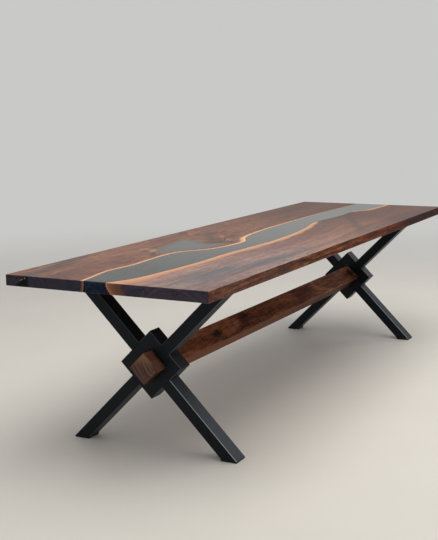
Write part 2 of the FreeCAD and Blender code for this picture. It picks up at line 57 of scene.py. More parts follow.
class Graph:
    """The node graph of one material, in the coordinates of the frame."""

    def __init__(self, name):
        self.material = bpy.data.materials.new(name)
        self.material.use_nodes = True
        self.tree = self.material.node_tree
        self.tree.nodes.clear()
        self.shader = self.tree.nodes.new("ShaderNodeBsdfPrincipled")
        self.surface = self.tree.nodes.new("ShaderNodeOutputMaterial").inputs["Surface"]
        self.put(self.surface, self.shader.outputs[0])
        self.place = self.tree.nodes.new("ShaderNodeTexCoord").outputs["Object"]
        self.x, self.y, self.z = self.split(self.place)

    def put(self, socket, value):
        """Links a socket to another, or sets its own value."""
        if isinstance(value, bpy.types.NodeSocket):
            self.tree.links.new(value, socket)
        else:
            socket.default_value = value

    def node(self, kind, inputs, **settings):
        """A new node with its settings and inputs."""
        node = self.tree.nodes.new(kind)
        for name, value in settings.items():
            setattr(node, name, value)
        for key, value in inputs.items():
            self.put(node.inputs[key], value)
        return node

    def compute(self, operation, *values):
        return self.node("ShaderNodeMath", dict(enumerate(values)), operation=operation).outputs[0]

    def add(self, first, *others):
        for other in others:
            first = self.compute("ADD", first, other)
        return first

    def times(self, first, *others):
        for other in others:
            first = self.compute("MULTIPLY", first, other)
        return first

    def minus(self, first, second):
        return self.compute("SUBTRACT", first, second)

    def apart(self, first, second):
        """How far apart two numbers are."""
        return self.compute("ABSOLUTE", self.minus(first, second))

    def strongest(self, masks):
        """The largest of some masks."""
        first, *others = masks
        for other in others:
            first = self.compute("MAXIMUM", first, other)
        return first

    def contrast(self, value, gain, middle=0.5, new_middle=0.5):
        """Widens the range of a value about its middle, and may move the middle."""
        return self.add(self.times(self.minus(value, middle), gain), new_middle)

    def split(self, vector):
        return self.node("ShaderNodeSeparateXYZ", {0: vector}).outputs[:3]

    def join(self, x, y, z):
        return self.node("ShaderNodeCombineXYZ", {0: x, 1: y, 2: z}).outputs[0]

    def length(self, vector):
        return self.node("ShaderNodeVectorMath", {0: vector}, operation="LENGTH").outputs["Value"]

    def offset(self, vector, centre):
        return self.node("ShaderNodeVectorMath", {0: vector, 1: centre}, operation="SUBTRACT").outputs[0]

    def stretch(self, vector, scale=(1, 1, 1), shift=(0, 0, 0), turn=(0, 0, 0)):
        """A vector scaled, turned and then shifted."""
        inputs = {"Vector": vector, "Scale": scale, "Location": shift, "Rotation": turn}
        return self.node("ShaderNodeMapping", inputs).outputs[0]

    def ease(self, value, low, high):
        """Rises smoothly from 0 at low to 1 at high, or falls where high is the smaller."""
        inputs = {"Value": value, "From Min": low, "From Max": high}
        return self.node("ShaderNodeMapRange", inputs, interpolation_type="SMOOTHSTEP").outputs[0]

    def ease_along(self, low, high):
        """Eases from one place along the table to another."""
        return self.ease(self.x, station(low), station(high))

    def between(self, value, low, high):
        """Maps 0 to 1 onto a range."""
        return self.node("ShaderNodeMapRange", {"Value": value, "To Min": low, "To Max": high}).outputs[0]

    def sway(self, value, reach):
        """Maps 0 to 1 onto a reach to either side of 0."""
        return self.between(value, -reach, reach)

    def noise(self, vector, scale, shift=(0, 0, 0), detail=2.0, roughness=0.5, distortion=0.0):
        """Noise from 0 to 1. Its scale is in waves per unit of the vector, most often metres."""
        inputs = {"Vector": self.stretch(vector, scale, shift), "Scale": 1.0, "Detail": detail,
                  "Roughness": roughness, "Distortion": distortion}
        return self.node("ShaderNodeTexNoise", inputs).outputs["Fac"]

    def noise_along(self, value, detail, roughness):
        """Noise along one number."""
        inputs = {"W": value, "Scale": 1.0, "Detail": detail, "Roughness": roughness}
        return self.node("ShaderNodeTexNoise", inputs, noise_dimensions="1D").outputs["Fac"]

    def blend(self, factor, first, second):
        """Mixes two numbers."""
        return self.node("ShaderNodeMix", {0: factor, 2: first, 3: second}).outputs[0]

    def mix(self, factor, first, second, blend="MIX"):
        """Mixes two colours, by the colour sockets of the node."""
        node = self.node("ShaderNodeMix", {}, data_type="RGBA", blend_type=blend)
        for index, value in ((0, factor), (6, first), (7, second)):
            self.put(node.inputs[index], value)
        return node.outputs[2]

    def tint(self, factor, colour, other):
        """Multiplies a colour by another."""
        return self.mix(factor, colour, other, "MULTIPLY")

    def ramp(self, factor, stops):
        node = self.node("ShaderNodeValToRGB", {0: factor})
        elements = node.color_ramp.elements
        while len(elements) < len(stops):
            elements.new(0.5)
        for element, (place, colour) in zip(elements, stops):
            element.position = place
            element.color = colour
        return node.outputs["Color"]

    def line(self, value, points):
        """A polyline through points, as a function of one number."""
        low, high = np.min(points, axis=0), np.max(points, axis=0)
        shares = (np.array(points) - low) / (high - low)
        node = self.tree.nodes.new("ShaderNodeFloatCurve")
        curve = node.mapping.curves[0]
        curve.points[0].location = shares[0]
        curve.points[1].location = shares[-1]
        for share in shares[1:-1]:
            curve.points.new(*share)
        for point in curve.points:
            point.handle_type = "VECTOR"
        node.mapping.update()
        inputs = {"Value": value, "From Min": float(low[0]), "From Max": float(high[0])}
        self.put(node.inputs["Value"], self.node("ShaderNodeMapRange", inputs).outputs[0])
        return self.between(node.outputs[0], float(low[1]), float(high[1]))

    def along_table(self, points):
        """A polyline of values by place along the table."""
        return self.line(self.x, [(station(place), value) for place, value in points])

    def near(self, vector, centre, reach, turn=0.0):
        """1 at a centre, falling to 0 past its reach along each axis. Also gives the offset in reaches."""
        offset = self.offset(vector, centre)
        turned = self.stretch(offset, turn=(0, 0, -turn)) if turn else offset
        shares = self.stretch(turned, tuple(1 / value for value in reach))
        square = self.node("ShaderNodeVectorMath", {0: shares, 1: shares}, operation="DOT_PRODUCT")
        return self.compute("EXPONENT", self.times(square.outputs["Value"], -1.0)), shares

    def near_mark(self, vector, spot, reach, turn):
        """Near for a mark on a face, by its place and offset, its two reaches and its turn in degrees."""
        place, offset = spot
        return self.near(vector, (station(place), offset, 0.0), (*reach, 1.0), math.radians(turn))

    def bump(self, height, distance, strength):
        inputs = {"Height": height, "Distance": distance, "Strength": strength}
        self.put(self.shader.inputs["Normal"], self.node("ShaderNodeBump", inputs).outputs[0])

    def normal(self, axis):
        return self.split(self.tree.nodes.new("ShaderNodeNewGeometry").outputs["Normal"])[axis]

    def facing(self, axis, limits=(0.5, 0.9)):
        """1 on the faces square to an axis: 0 for the table's ends, 1 for its long sides."""
        return self.ease(self.compute("ABSOLUTE", self.normal(axis)), *limits)

    def looking_up(self, limits=(0.4, 0.7)):
        """1 on the faces that look up, also at a slope."""
        return self.ease(self.normal(2), *limits)

    def finish(self, **inputs):
        """Sets the shader's inputs and returns the material."""
        for name, value in inputs.items():
            self.put(self.shader.inputs[name.replace("_", " ")], value)
        return self.material


# What is read from the frame

# A point this close to the top face lies on it
TOLERANCE = 1e-4
# How many even steps the banks and the pool's edges are read at
BANK_STEPS, POOL_STEPS = 97, 41
# The front slab's bank lies behind this offset, and the back slab's at least this far behind that bank
BANK_DIVIDE, RIVER_MARGIN = -0.2, 0.02


def points_of(name):
    """The corners of a solid's mesh."""
    return np.array([vertex.co for vertex in nodes[name].data.vertices])


def middle_height(*names):
    """The mean height of the corners of some solids."""
    return float(np.mean(np.concatenate([points_of(name)[:, 2] for name in names])))


def read_bank(side):
    """The natural edge of a slab on the top face, at even steps along the table."""
    def top_points(name):
        points = points_of(name)
        return points[points[:, 2] > TOP - TOLERANCE][:, :2]

    steps = np.linspace(-HALF_LENGTH, HALF_LENGTH, BANK_STEPS)

    def sampled(points):
        points = points[np.argsort(points[:, 0])]
        return np.interp(steps, points[:, 0], points[:, 1])

    slab = top_points("front_slab")
    front = sampled(slab[slab[:, 1] > BANK_DIVIDE])
    if side == "front":
        return list(zip(steps, front))
    river = top_points("river_resin")
    past_front = river[:, 1] > np.interp(river[:, 0], steps, front) + RIVER_MARGIN
    return list(zip(steps, sampled(river[past_front])))


def read_edge(name, along):
    """The outermost edge of a solid's top face at even steps along X or Y (0 or 1)."""
    across = 1 - along
    points = points_of(name)
    edges = np.array([points[list(edge.vertices)] for edge in nodes[name].data.edges])
    edges = edges[(edges[:, :, 2] > TOP - TOLERANCE).all(axis=1)]
    starts, ends = edges[:, 0], edges[:, 1]
    first_step = edges[:, :, along].min() + TOLERANCE
    last_step = edges[:, :, along].max() - TOLERANCE
    outline = []
    for step in np.linspace(first_step, last_step, POOL_STEPS):
        crossed = (starts[:, along] - step) * (ends[:, along] - step) < 0
        first, last = starts[crossed], ends[crossed]
        share = (step - first[:, along]) / (last[:, along] - first[:, along])
        outline.append((step, np.max(first[:, across] + share * (last[:, across] - first[:, across]))))
    return outline


BEAM_HEIGHT = middle_height("stretcher_beam")
HUB_HEIGHT = middle_height("left_hub_upper_back", "left_hub_lower_front")


# Walnut

# The heartwood's colours, from its dark tones to its light ones
HEARTWOOD = {
    "back": [
        (0.0, paint(40, 22, 16)), (0.28, paint(84, 49, 35)), (0.5, paint(126, 79, 58)),
        (0.72, paint(160, 107, 80)), (1.0, paint(198, 144, 110)),
    ],
    "front": [
        (0.0, paint(49, 35, 34)), (0.28, paint(94, 69, 63)), (0.5, paint(137, 104, 94)),
        (0.72, paint(169, 132, 118)), (1.0, paint(201, 166, 148)),
    ],
    "beam": [
        (0.0, paint(36, 17, 9)), (0.3, paint(79, 43, 27)), (0.5, paint(112, 67, 46)),
        (0.72, paint(139, 89, 63)), (1.0, paint(169, 118, 87)),
    ],
}
# The same on the slabs' sawn ends, their stain and drying checks, and how much lighter each slab's ends are
END_GRAIN = [
    (0.0, paint(24, 22, 28)), (0.4, paint(45, 42, 52)), (0.65, paint(59, 54, 65)), (1.0, paint(92, 78, 80)),
]
END_STAIN, END_CHECK = paint(44, 48, 60), paint(16, 12, 13)
END_LIFT = {"front": 0.15, "back": 0.0}
# Shifts that give each piece of wood a grain of its own
SEEDS = {"front": 3.7, "back": 11.2, "beam": 21.4}
# How much of the wood's tone comes from its rings, broad bands, streaks, mottle and ripple
SLAB_GRAIN = (0.22, 0.34, 0.62, 0.6, 0.12)
BEAM_GRAIN = (0.34, 0.36, 0.8, 0.24, 0.22)
GRAIN_CONTRAST = 1.7
RINGS_PER_METRE = 85.0
PORE = paint(38, 24, 20)
# The colour of the beam's knots and of the shade on the slabs' long sides
NEAR_BLACK = paint(20, 12, 9)
# How rough the oiled wood is, and how well it shines: the slabs' tops, their long sides, the beam and all
# sawn ends
SLAB_ROUGHNESS, BEAM_ROUGHNESS = 0.46, 0.5
SLAB_SHINE = {"front": 0.52, "back": 0.42}
SIDE_SHINE, BEAM_SHINE, END_SHINE = 0.06, 0.09, 0.12


def add_grain(graph, across, depth, pith, seed, grain):
    """The wood's tone from 0, dark, to 1, light, its fibres, its pores and its rings about the pith."""
    spot = graph.join(graph.x, across, depth)
    drift = graph.noise(spot, (1.1, 3, 3), (seed, 0, 0))
    waves = graph.noise(spot, (5.5, 16, 16), (0, seed, 0), detail=3.0)
    warped = graph.add(across, graph.sway(drift, 0.045), graph.sway(waves, 0.009))
    spot = graph.join(graph.x, warped, depth)
    radius = graph.length(graph.join(graph.minus(warped, pith[0]), graph.minus(depth, pith[1]), 0.0))
    rings = graph.noise_along(graph.times(radius, RINGS_PER_METRE), detail=3.0, roughness=0.6)
    broad = graph.noise(spot, (1.2, 10, 10), (0, 0, seed), detail=3.0, roughness=0.6)
    streaks = graph.noise(spot, (9, 120, 120), (seed, seed, 0), detail=5.0, roughness=0.68)
    mottle = graph.noise(spot, (26, 75, 75), (seed, 0, seed), detail=5.0, roughness=0.7)
    ripple = graph.noise(spot, (46, 10, 10), (0, seed, seed))
    fibres = graph.noise(spot, (16, 520, 520), roughness=0.6)
    pores = graph.ease(graph.noise(spot, (45, 1500, 1500), detail=1.0), 0.62, 0.74)
    layers = (rings, broad, streaks, mottle, ripple)
    tone = graph.add(*(graph.times(layer, share) for layer, share in zip(layers, grain)))
    return graph.contrast(tone, GRAIN_CONTRAST, middle=sum(grain) / 2), fibres, pores, rings


def add_end_grain(graph, rings, tone, seed, lift):
    """The colour of the slabs' sawn ends: arcs of rings, fine pores, a cool stain and drying checks."""
    pores = graph.noise(graph.place, (0, 900, 900), (0, seed, 0), roughness=0.7)
    value = graph.add(graph.times(rings, 0.4), graph.times(pores, 0.35), graph.times(tone, 0.25), lift)
    colour = graph.ramp(value, END_GRAIN)
    drift = graph.noise(graph.place, (0, 9, 14), (0, seed, 0))
    colour = graph.mix(graph.times(graph.ease(drift, 0.5, 0.62), 0.7), colour, END_STAIN)
    bent = graph.noise(graph.place, (0, 9, 38), (0, seed, seed), detail=3.0, roughness=0.6)
    checks = graph.ease(graph.apart(bent, 0.5), 0.016, 0.004)
    kept = graph.ease(graph.noise(graph.place, (0, 14, 10), (0, 0, seed), detail=1.0), 0.5, 0.62)
    return graph.mix(graph.times(checks, kept), colour, END_CHECK)


def finish_wood(graph, colour, tone, fibres, pores, end, roughness, shine):
    """Fibres and pores over a wood colour, and a satin oiled surface."""
    shade = graph.between(fibres, 0.78, 1.2)
    grey = graph.node("ShaderNodeCombineColor", {0: shade, 1: shade, 2: shade}).outputs[0]
    lengthwise = graph.minus(1.0, end)
    colour = graph.tint(graph.times(lengthwise, 0.8), colour, grey)
    colour = graph.mix(graph.times(pores, lengthwise, 0.5), colour, PORE)
    graph.bump(graph.minus(fibres, graph.times(pores, 0.6)), 0.00025, 0.35)
    varied = graph.between(tone, roughness - 0.04, roughness + 0.05)
    return graph.finish(Base_Color=colour, Roughness=graph.add(varied, graph.times(end, 0.1)),
                        Specular_IOR_Level=graph.blend(end, shine, END_SHINE))


# The slabs

# The banks are upright down to the shoulder. Then they slope back under the slab, this far over that depth.
SHOULDER, UNDERCUT, UNDERCUT_DEPTH = 0.015, {"front": 0.022, "back": 0.004}, 0.032
# How far in from the bank the grain still follows it, and the pith's offset and height
FOLLOW_REACH = 0.17
PITH = {"front": (-0.30, TOP - 0.16), "back": (0.36, TOP - 0.14)}
# The width of the pale sapwood beside the bank, by place
SAPWOOD = {
    "front": [
        (0, 0.1), (0.08, 0.078), (0.2, 0.054), (0.4, 0.04), (0.7, 0.037), (1.0, 0.043), (1.4, 0.038),
        (1.8, 0.031), (1.98, 0.03), (2.07, 0.0), (2.57, 0.0), (2.61, 0.022), (3.05, 0.024),
    ],
    "back": [
        (0, 0.017), (0.1, 0.016), (0.4, 0.017), (1.0, 0.019), (1.18, 0.022), (1.25, 0.034), (1.3, 0.036),
        (1.37, 0.024), (1.5, 0.018), (2.0, 0.015), (2.5, 0.012), (3.05, 0.01),
    ],
}
# Its colours from the bank inwards, on the faces and on the sawn ends, and the tint of its fibres
PALE_WOOD = {
    "front": [
        (0.0, paint(218, 168, 122)), (0.3, paint(211, 150, 103)), (0.65, paint(197, 137, 95)),
        (1.0, paint(164, 114, 90)),
    ],
    "back": [
        (0.0, paint(242, 196, 140)), (0.55, paint(226, 164, 108)), (0.8, paint(188, 124, 82)),
        (1.0, paint(152, 98, 72)),
    ],
}
SAWN_PALE_WOOD = [
    (0.0, paint(208, 142, 94)), (0.07, paint(162, 106, 76)), (0.3, paint(128, 87, 69)),
    (1.0, paint(86, 64, 59)),
]
PALE_FIBRE = paint(164, 98, 62)
# How strong it is beside the back bank, by place
BACK_PALENESS = [(0, 1.0), (1.5, 1.0), (2.0, 0.72), (2.6, 0.45), (3.05, 0.3)]
# How far the heartwood darkens along the slabs, by place, and the tint that it takes
DEEPENING = {
    "front": [(0, 0.0), (1.2, 0.1), (1.9, 0.6), (2.4, 1.0), (3.05, 1.0)],
    "back": [(0, 0.4), (0.6, 0.1), (1.5, 0.2), (2.2, 0.65), (3.05, 0.85)],
}
DEEP_WOOD = {"front": paint(151, 118, 88), "back": paint(152, 142, 126)}
# A cool tint in drifting patches, and a warm one that comes in between two places along the front slab
COOL_TINT = paint(224, 212, 216)
WARM_TINT, WARM_PLACES = paint(255, 231, 207), (0.7, 1.8)
# Marks on the top: place and offset, reach along and across, turn in degrees, and strength. The grain parts
# round the knots, and the smoke is dark colour that drifts over it.
KNOTS = {
    "front": [((2.06, -0.27), (0.13, 0.04), 30, 0.15), ((1.1, -0.335), (0.1, 0.03), 0, 0.2)],
    "back": [((0.785, 0.25), (0.085, 0.034), 14, 0.2), ((1.31, 0.06), (0.06, 0.025), 30, 0.3)],
}
SMOKE = {
    "front": [((2.25, -0.165), (0.26, 0.026), 26, 0.6), ((1.93, -0.32), (0.16, 0.03), 26, 0.5),
              ((2.3, -0.064), (0.25, 0.02), -3, 0.6), ((1.75, -0.41), (0.14, 0.03), 8, 0.3)],
    "back": [((0.95, 0.29), (0.2, 0.018), 10, 0.5), ((1.115, 0.115), (0.1, 0.03), -58, 0.85),
             ((1.17, 0.05), (0.05, 0.014), 12, 0.5), ((0.75, 0.262), (0.04, 0.02), 0, 0.75),
             ((0.875, 0.29), (0.05, 0.016), 0, 0.7), ((0.685, 0.188), (0.05, 0.014), 20, 0.7),
             ((0.08, 0.35), (0.16, 0.035), 9, 0.3), ((0.4, 0.418), (0.2, 0.03), 7, 0.5),
             ((0.25, 0.37), (0.2, 0.035), 6, 0.5), ((1.26, 0.2), (0.14, 0.045), 34, 0.55)],
}
SMOKE_COLOUR = paint(50, 36, 32)
# Pale patches at the pool's left tip and beside the knee of the bank, and grey ones where resin shows
PALE_PATCHES = [((0.775, 0.24), (0.045, 0.022), 20, 0.6), ((1.235, 0.094), (0.05, 0.008), 40, 0.4)]
PALE_PATCH = paint(186, 132, 104)
GREY_PATCHES = [((1.235, 0.05), (0.05, 0.016), 12, 0.85), ((0.7, 0.262), (0.03, 0.016), 0, 0.5)]
# The wood and the pool's resin run into each other in a smoky rim along the pool's back and right-hand
# edges. It reaches this far to either side, across the back edge and across the other. It fades out from
# just inside the ends of these edges to just past them, and between two depths below the top.
POOL_RIM, POOL_RIM_REACHES = paint(104, 88, 80), (0.024, 0.05)
RIM_INSIDE, RIM_PAST, RIM_DEPTHS = 0.02, 0.03, (0.03, 0.01)
# Where the dark feather figure beside the pool spreads from, and how far
FEATHER_START, FEATHER_REACH = (1.1, 0.03), 0.62
# The offset of the grey streak in the front slab's heartwood, by place, its colour and tint, and how far
# its edges stray
HEART = [(0, -0.31), (0.12, -0.3), (0.34, -0.29), (0.46, -0.315), (0.6, -0.345), (0.8, -0.37), (1.6, -0.4)]
HEART_GREY, HEART_TINT = paint(86, 85, 90), paint(206, 219, 230)
HEART_RAGGEDNESS = 0.17
# The long sides: how far their bands swing the tone, and the two places between which they grow bolder.
# Then their tint near the left end, the places between which it gives way to the tints of their dark and
# light streaks, and how much shade lies on them, by place.
BAND_REACH, BAND_PLACES = 1.1, (0.6, 1.2)
LEFT_TINT, LEFT_PLACES = paint(208, 172, 145), (0.6, 1.0)
STREAK_TINTS = (paint(224, 154, 85), paint(228, 184, 110))
SIDE_SHADE = [
    (0, 0.0), (0.3, 0.06), (0.5, 0.38), (0.7, 0.58), (0.9, 0.16), (1.1, 0.0), (2.4, 0.0), (2.6, 0.34),
    (3.05, 0.42),
]
# Dark streaks on the front long side: place and height from the top, reach along and up, turn, and strength
SIDE_STREAKS = [
    ((1.12, -0.031), (0.17, 0.0035), 0, 0.95), ((0.88, -0.018), (0.09, 0.007), -5, 0.8),
    ((1.77, -0.022), (0.08, 0.007), 4, 0.7), ((0.4, -0.03), (0.2, 0.004), 1, 0.4),
    ((2.4, -0.02), (0.25, 0.006), 1, 0.6),
]
SIDE_STREAK = paint(26, 16, 12)


def follow_bank(graph, side):
    """How far in from the bank a place lies, and its offset in the grain, which follows the bank."""
    away = -1.0 if side == "front" else 1.0
    bank = graph.line(graph.x, read_bank(side))
    under = graph.compute("MAXIMUM", graph.minus(TOP - SHOULDER, graph.z), 0.0)
    edge = graph.add(bank, graph.times(under, away * UNDERCUT[side] / UNDERCUT_DEPTH))
    inward = graph.times(graph.minus(graph.y, edge), away)
    share = graph.times(inward, 1 / FOLLOW_REACH)
    follow = graph.compute("DIVIDE", 1.0, graph.add(graph.times(share, share), 1.0))
    return inward, graph.minus(graph.y, graph.times(bank, follow))


def part_round_knots(graph, side, on_top, across):
    """The offset in the grain, pushed aside by the knots, and how dark the knots are."""
    cores = []
    for spot, reach, turn, strength in KNOTS[side]:
        mask, shares = graph.near_mark(on_top, spot, reach, turn)
        across = graph.add(across, graph.times(graph.split(shares)[1], mask, reach[1] * 0.9))
        cores.append(graph.times(graph.compute("POWER", mask, 3.0), strength))
    return across, graph.strongest(cores)


def add_feather(graph, on_top, tone):
    """The tone with a dark feather figure over it, which spreads like a fan beside the pool."""
    place, offset = FEATHER_START
    from_start = graph.offset(on_top, (station(place), offset, 0.0))
    ahead, aside = graph.split(from_start)[:2]
    turn = graph.compute("ARCTAN2", aside, ahead)
    radius = graph.length(from_start)
    bent = graph.add(turn, graph.times(radius, 0.9))
    plumes = graph.noise(graph.join(bent, radius, 0.0), (11, 6, 1), detail=7.0, roughness=0.74)
    inside = graph.times(graph.ease(turn, 0.1, 0.4), graph.ease(turn, 1.4, 0.85),
                         graph.ease(radius, FEATHER_REACH, 0.15))
    figure = graph.contrast(plumes, 4.0, new_middle=0.38)
    return graph.blend(graph.times(inside, 0.9), tone, figure)


def tint_long_sides(graph, colour, tone, long_side):
    """The slab's colour with the tints and the shade of its long side."""
    streak_tint = graph.mix(graph.ease(tone, 0.25, 0.75), *STREAK_TINTS)
    side_tint = graph.mix(graph.ease_along(*LEFT_PLACES), LEFT_TINT, streak_tint)
    colour = graph.tint(long_side, colour, side_tint)
    return graph.mix(graph.times(graph.along_table(SIDE_SHADE), long_side), colour, NEAR_BLACK)


def add_heart_streak(graph, colour, on_top, seed):
    """The front slab's colour with its grey heart streak."""
    off_heart = graph.apart(graph.y, graph.along_table(HEART))
    ragged = graph.noise(on_top, (3.2, 60, 1), (seed, 0, 0), detail=7.0, roughness=0.74)
    reach = graph.between(graph.ease_along(0.9, 0.0), 0.07, 0.14)
    streak = graph.ease(graph.add(off_heart, graph.sway(ragged, HEART_RAGGEDNESS)), reach, 0.0)
    fade = graph.between(graph.ease_along(0.03, 0.28), 0.3, 1.0)
    streak = graph.times(streak, fade, graph.ease_along(1.3, 0.6))
    colour = graph.mix(graph.times(streak, 0.72), colour, HEART_GREY)
    return graph.tint(streak, colour, HEART_TINT)


def drifting(graph, vector, marks, wisps):
    """How strong the marks are at a place, where they drift in wisps."""
    clouds = []
    for spot, reach, turn, strength in marks:
        mask = graph.near_mark(vector, spot, reach, turn)[0]
        clouds.append(graph.times(graph.ease(graph.times(mask, wisps), 0.12, 0.75), strength))
    return graph.strongest(clouds)


def add_side_streaks(graph, colour, long_side, seed):
    """The front slab's colour with the dark streaks on its long side."""
    on_side = graph.join(graph.x, graph.minus(graph.z, TOP), 0.0)
    torn = graph.noise(on_side, (14, 190, 1), (0, seed, 0), detail=5.0, roughness=0.7)
    streaks = drifting(graph, on_side, SIDE_STREAKS, graph.between(torn, 0.3, 1.9))
    return graph.mix(graph.times(streaks, long_side), colour, SIDE_STREAK)


def pool_haze(graph):
    """How much of the pool's smoky rim lies at a place."""
    place = (graph.x, graph.y)
    torn = graph.noise(graph.join(*place, 0.0), (24, 50, 1), (5, 0, 0), detail=5.0, roughness=0.7)
    rims = []
    for along, reach in enumerate(POOL_RIM_REACHES):
        outline = read_edge("pool_fill", along)
        off_edge = graph.apart(place[1 - along], graph.line(place[along], outline))
        rim = graph.ease(graph.add(off_edge, graph.sway(torn, reach)), reach, 0.0)
        first, last = outline[0][0], outline[-1][0]
        beside = graph.times(graph.ease(place[along], first - RIM_PAST, first + RIM_INSIDE),
                             graph.ease(place[along], last + RIM_PAST, last - RIM_INSIDE))
        rims.append(graph.times(rim, beside))
    near_top = graph.ease(graph.z, *(TOP - depth for depth in RIM_DEPTHS))
    return graph.times(graph.strongest(rims), near_top)


def add_patches(graph, colour, on_top, seed):
    """The back slab's colour with its pale and grey patches and the pool's smoky rim."""
    torn = graph.noise(on_top, (60, 110, 1), (seed, 0, 0), detail=4.0, roughness=0.7)
    pale = drifting(graph, on_top, PALE_PATCHES, graph.between(torn, 0.0, 2.0))
    colour = graph.mix(pale, colour, PALE_PATCH)
    grey = drifting(graph, on_top, GREY_PATCHES, graph.between(torn, 0.2, 1.8))
    return graph.mix(graph.strongest([grey, pool_haze(graph)]), colour, POOL_RIM)


def add_sapwood(graph, side, colour, inward, fibres, end, seed):
    """The wood's colour with the pale sapwood beside the bank."""
    width = graph.times(graph.along_table(SAPWOOD[side]), graph.blend(end, 1.0, 0.72))
    ragged = graph.noise(graph.place, (9, 60, 60), (0, seed, 0), detail=3.0)
    never_zero = graph.add(graph.times(width, graph.between(ragged, 0.6, 1.4)), 1e-5)
    ratio = graph.compute("DIVIDE", inward, never_zero)
    pale = graph.mix(end, graph.ramp(ratio, PALE_WOOD[side]), graph.ramp(ratio, SAWN_PALE_WOOD))
    pale = graph.tint(graph.times(graph.minus(1.0, fibres), 0.3), pale, PALE_FIBRE)
    share = graph.times(graph.ease(ratio, 1.12, 0.84), graph.ease(width, 0.001, 0.008))
    if side == "back":
        share = graph.times(share, graph.along_table(BACK_PALENESS))
    return graph.mix(share, colour, pale)


def walnut_slab(side):
    """One slab: grain that follows the bank, sapwood beside it, knots, smoke and sawn ends."""
    graph = Graph(f"walnut_{side}_slab")
    seed = SEEDS[side]
    on_top = graph.join(graph.x, graph.y, 0.0)
    end = graph.facing(0)
    long_side = graph.facing(1)
    inward, across = follow_bank(graph, side)
    across, cores = part_round_knots(graph, side, on_top, across)
    tone, fibres, pores, rings = add_grain(graph, across, graph.z, PITH[side], seed, SLAB_GRAIN)
    bands = graph.noise(graph.place, (3.5, 30, 60), (0, 0, seed), detail=5.0, roughness=0.7)
    boldness = graph.between(graph.ease_along(*BAND_PLACES), 0.4, 1.0)
    tone = graph.add(tone, graph.times(long_side, boldness, graph.sway(bands, BAND_REACH)))
    if side == "back":
        tone = add_feather(graph, on_top, tone)
    colour = graph.ramp(tone, HEARTWOOD[side])
    cool = graph.noise(graph.join(graph.x, across, graph.z), (0.8, 5, 5), (seed, 2, 0))
    colour = graph.tint(graph.ease(cool, 0.45, 0.7), colour, COOL_TINT)
    colour = tint_long_sides(graph, colour, tone, long_side)
    colour = graph.tint(graph.along_table(DEEPENING[side]), colour, DEEP_WOOD[side])
    if side == "front":
        colour = graph.tint(graph.ease_along(*WARM_PLACES), colour, WARM_TINT)
        colour = add_heart_streak(graph, colour, on_top, seed)
    torn = graph.noise(on_top, (11, 40, 1), (0, seed, 0), detail=6.0, roughness=0.7)
    smoke = drifting(graph, on_top, SMOKE[side], graph.between(torn, 0.1, 1.9))
    colour = graph.mix(graph.strongest([smoke, cores]), colour, SMOKE_COLOUR)
    if side == "front":
        colour = add_side_streaks(graph, colour, long_side, seed)
    else:
        colour = add_patches(graph, colour, on_top, seed)
    colour = graph.mix(end, colour, add_end_grain(graph, rings, tone, seed, END_LIFT[side]))
    colour = add_sapwood(graph, side, colour, inward, fibres, end, seed)
    shine = graph.blend(long_side, SLAB_SHINE[side], SIDE_SHINE)
    return finish_wood(graph, colour, tone, fibres, pores, end, SLAB_ROUGHNESS, shine)


# The beam

# Its knots: the place of each from the beam's middle, its reach and how dark it is
BEAM_KNOTS = [
    ((-0.668, -0.032, 0.031), (0.035, 0.014, 0.014), 0.95),
    ((-0.355, -0.015, 0.049), (0.024, 0.01, 0.01), 0.8),
    ((1.071, -0.030, 0.033), (0.03, 0.02, 0.02), 0.9),
    ((0.42, -0.02, 0.042), (0.06, 0.016, 0.016), 0.5),
    ((-0.9, 0.03, 0.032), (0.04, 0.015, 0.015), 0.8),
    ((0.75, 0.025, -0.043), (0.04, 0.016, 0.016), 0.8),
]
# How many reaches a knot and the smoke round it take up, and how far the grain is pushed aside. The smoke
# lies to the left of the knot and below it.
KNOT_REACHES, HALO_REACHES, KNOT_PUSH = 2.2, 2.8, 0.03
HALO_SHIFT = (-0.035, -0.009, -0.009)
# The offset and height of the pith along the beam, and of the middle of the rings on its sawn ends
BEAM_PITH = (0.09, BEAM_HEIGHT - 0.06)
SAWN_PITH = (-0.1, BEAM_HEIGHT + 0.06)
BEAM_CONTRAST = 1.2
BEAM_BLOTCH = paint(50, 29, 20)
# The lower facets carry painted light from the floor, lighter to the left, and painted shade, deeper to the
# right near the right-hand hub, with a warm tint for their light all along. The stub past the left hub is
# greyer: it has painted light on its upper facets and painted shade on its lower ones. The beam is darker
# to the left of a seam.
FACET_LIGHT, FACET_LIGHT_PLACES = paint(156, 104, 74), (2.2, 0.7)
FACET_SHADE, FACET_SHADE_PLACES = paint(173, 155, 146), (1.3, 2.4)
LOWER_FACET_LIGHT_TINT = paint(252, 244, 222)
STUB_LIGHT, STUB_SHADE, STUB_PLACES = paint(131, 99, 86), paint(153, 177, 194), (0.36, 0.33)
SEAM_TINT, SEAM_PLACES = paint(238, 224, 213), (1.9, 1.885)
# The colours of the sawn ends, and the painted light on their upper corner, which lifts it out of the shade
SAWN_BEAM = [(0.3, paint(60, 42, 38)), (0.5, paint(92, 68, 60)), (0.68, paint(116, 87, 76))]
SAWN_END_LIGHT = paint(142, 106, 80)


